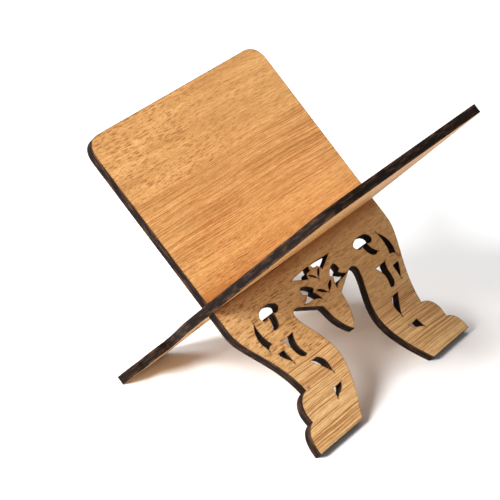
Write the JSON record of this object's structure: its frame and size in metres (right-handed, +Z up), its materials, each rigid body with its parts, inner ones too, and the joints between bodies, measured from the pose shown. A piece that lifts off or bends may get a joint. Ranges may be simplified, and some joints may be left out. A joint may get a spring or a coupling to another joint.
{
  "type": "book stand",
  "caption": "X-shaped book stand of crossed flat wooden boards slotted into each other, with plain book rests above and pierced scroll legs with a pendant below.",
  "frame": {"origin": "on the standing surface, under the middle of the line where the boards cross", "axes": "+Z up, Y along the line where the boards cross, X from one pair of legs to the other"},
  "size_m": [0.1754, 0.1682, 0.1644],
  "materials": {
    "veneered_board": "satin golden-brown veneer with straight grain across the board, and matt charred black-brown cut edges"
  },
  "bodies": {
    "right_leg_body": {"right_leg_board": "veneered_board"},
    "left_leg_body": {"left_leg_board": "veneered_board"}
  },
  "joints": [
    {"name": "boards_slide_apart", "type": "slide", "parent": "right_leg_body", "child": "left_leg_body", "axis": [0, -1, 0], "range_m": [0, 0.17]}
  ]
}
